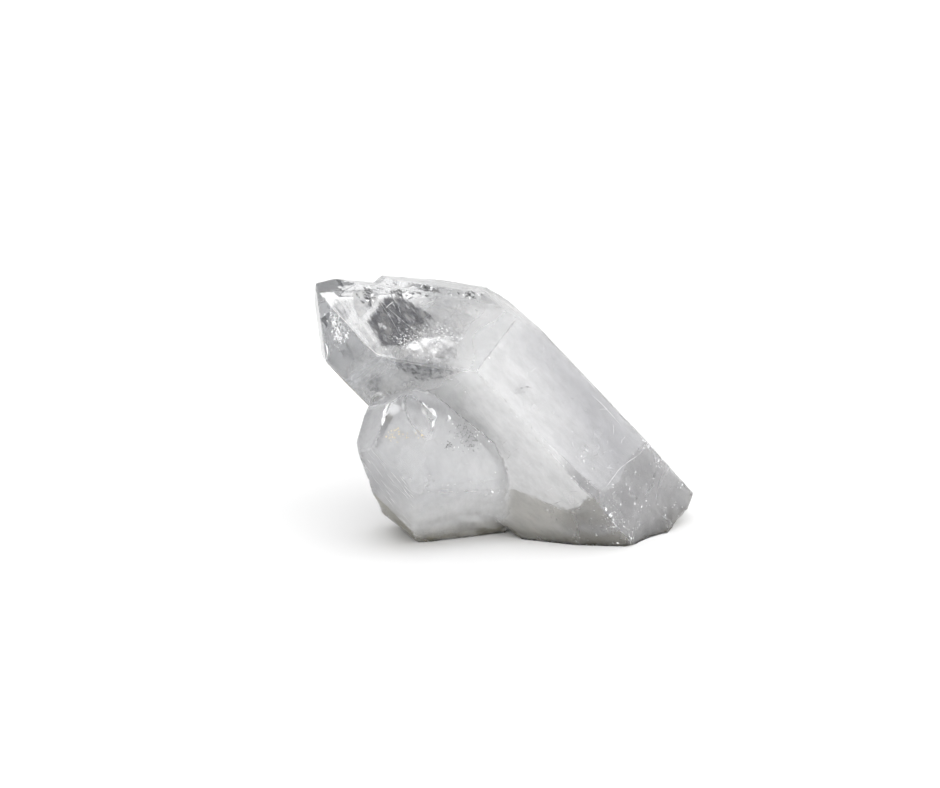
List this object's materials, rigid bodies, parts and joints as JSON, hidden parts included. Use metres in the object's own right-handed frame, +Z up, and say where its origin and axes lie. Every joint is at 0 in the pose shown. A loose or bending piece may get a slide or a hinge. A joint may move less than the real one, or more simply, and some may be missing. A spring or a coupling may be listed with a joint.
{
  "type": "quartz crystal cluster",
  "caption": "Clear-tipped milky quartz: a large leaning crystal with a ledge along its top and a short stout crystal grown into its foot, broken at one end, lying on a flat cut underside.",
  "frame": {"origin": "middle of the cluster's outline seen from above, on the surface it rests on", "axes": "+X along the cluster from the clear point to the broken end, -Y to the front with the small crystal, +Z up"},
  "size_m": [0.0975, 0.0568, 0.0667],
  "materials": {
    "quartz": "glossy crystal faces, clear at the points and milky in the body, with a rougher broken end"
  },
  "bodies": {
    "root": {"quartz_cluster": "quartz"}
  },
  "joints": []
}
